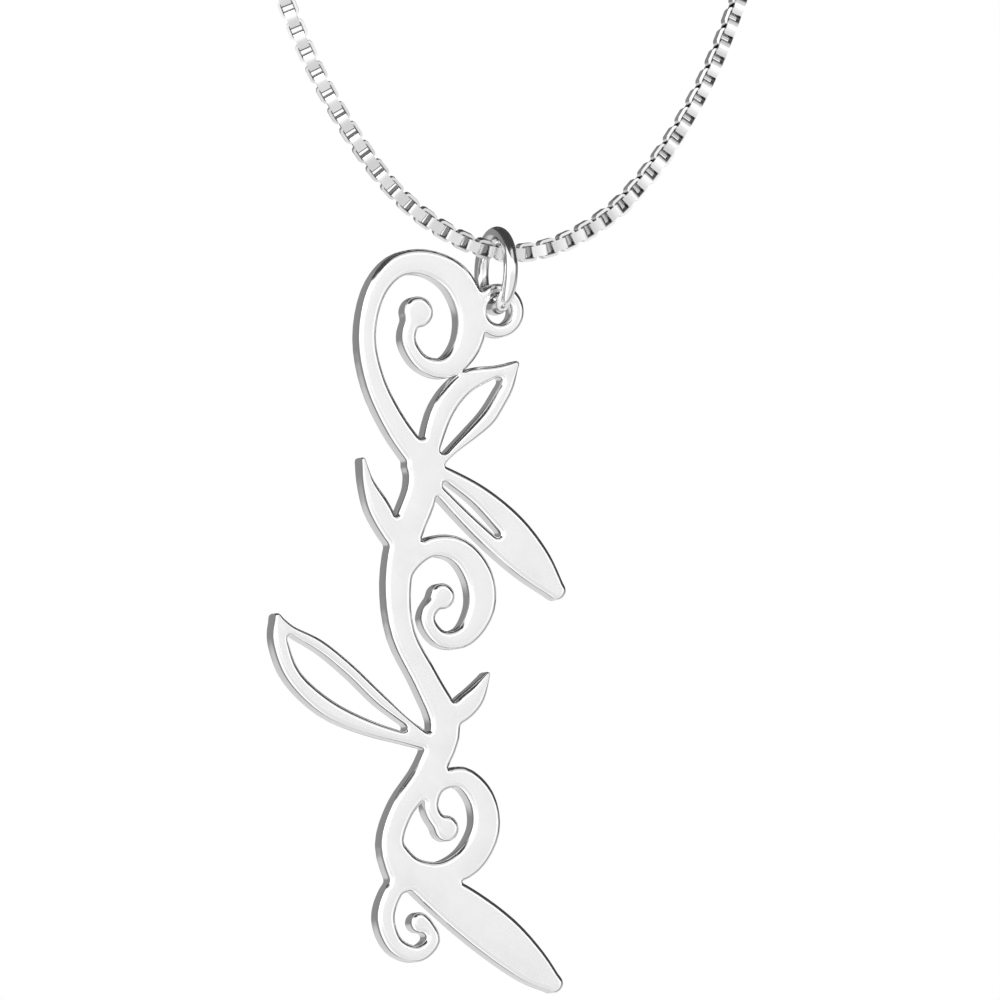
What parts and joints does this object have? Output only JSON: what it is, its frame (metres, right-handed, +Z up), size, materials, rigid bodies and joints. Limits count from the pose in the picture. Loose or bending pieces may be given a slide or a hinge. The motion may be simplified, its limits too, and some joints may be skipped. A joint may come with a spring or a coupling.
{
  "type": "nameplate necklace",
  "caption": "Fine box chain necklace in its worn form with a flat pierced scroll and leaf plate that hangs upright from a jump ring.",
  "frame": {"origin": "middle of the clasp at the nape, on the chain's centre line, where the necklace sits on the neck", "axes": "+Z up, -Y to the front and from the nape into the neck, +X to the wearer's left"},
  "size_m": [0.1132, 0.1185, 0.1484],
  "materials": {
    "sheet_silver": "satin face with polished edges",
    "polished_silver": "polished",
    "chain_silver": "polished"
  },
  "bodies": {
    "chain": {"chain": "chain_silver", "clasp": "polished_silver", "clasp_ring": "polished_silver", "catch_ring": "polished_silver"},
    "ring": {"jump_ring": "polished_silver"},
    "plate": {"nameplate": "sheet_silver"}
  },
  "joints": [
    {"name": "ring_swing", "type": "hinge", "parent": "chain", "child": "ring", "pos_m": [-0.0009, -0.114, -0.10394], "axis": [1, 0, 0], "range_deg": [-65, 65]},
    {"name": "plate_sway", "type": "hinge", "parent": "ring", "child": "plate", "pos_m": [-0.0009, -0.114, -0.10715], "axis": [0, -1, 0], "range_deg": [-2, 70]}
  ]
}
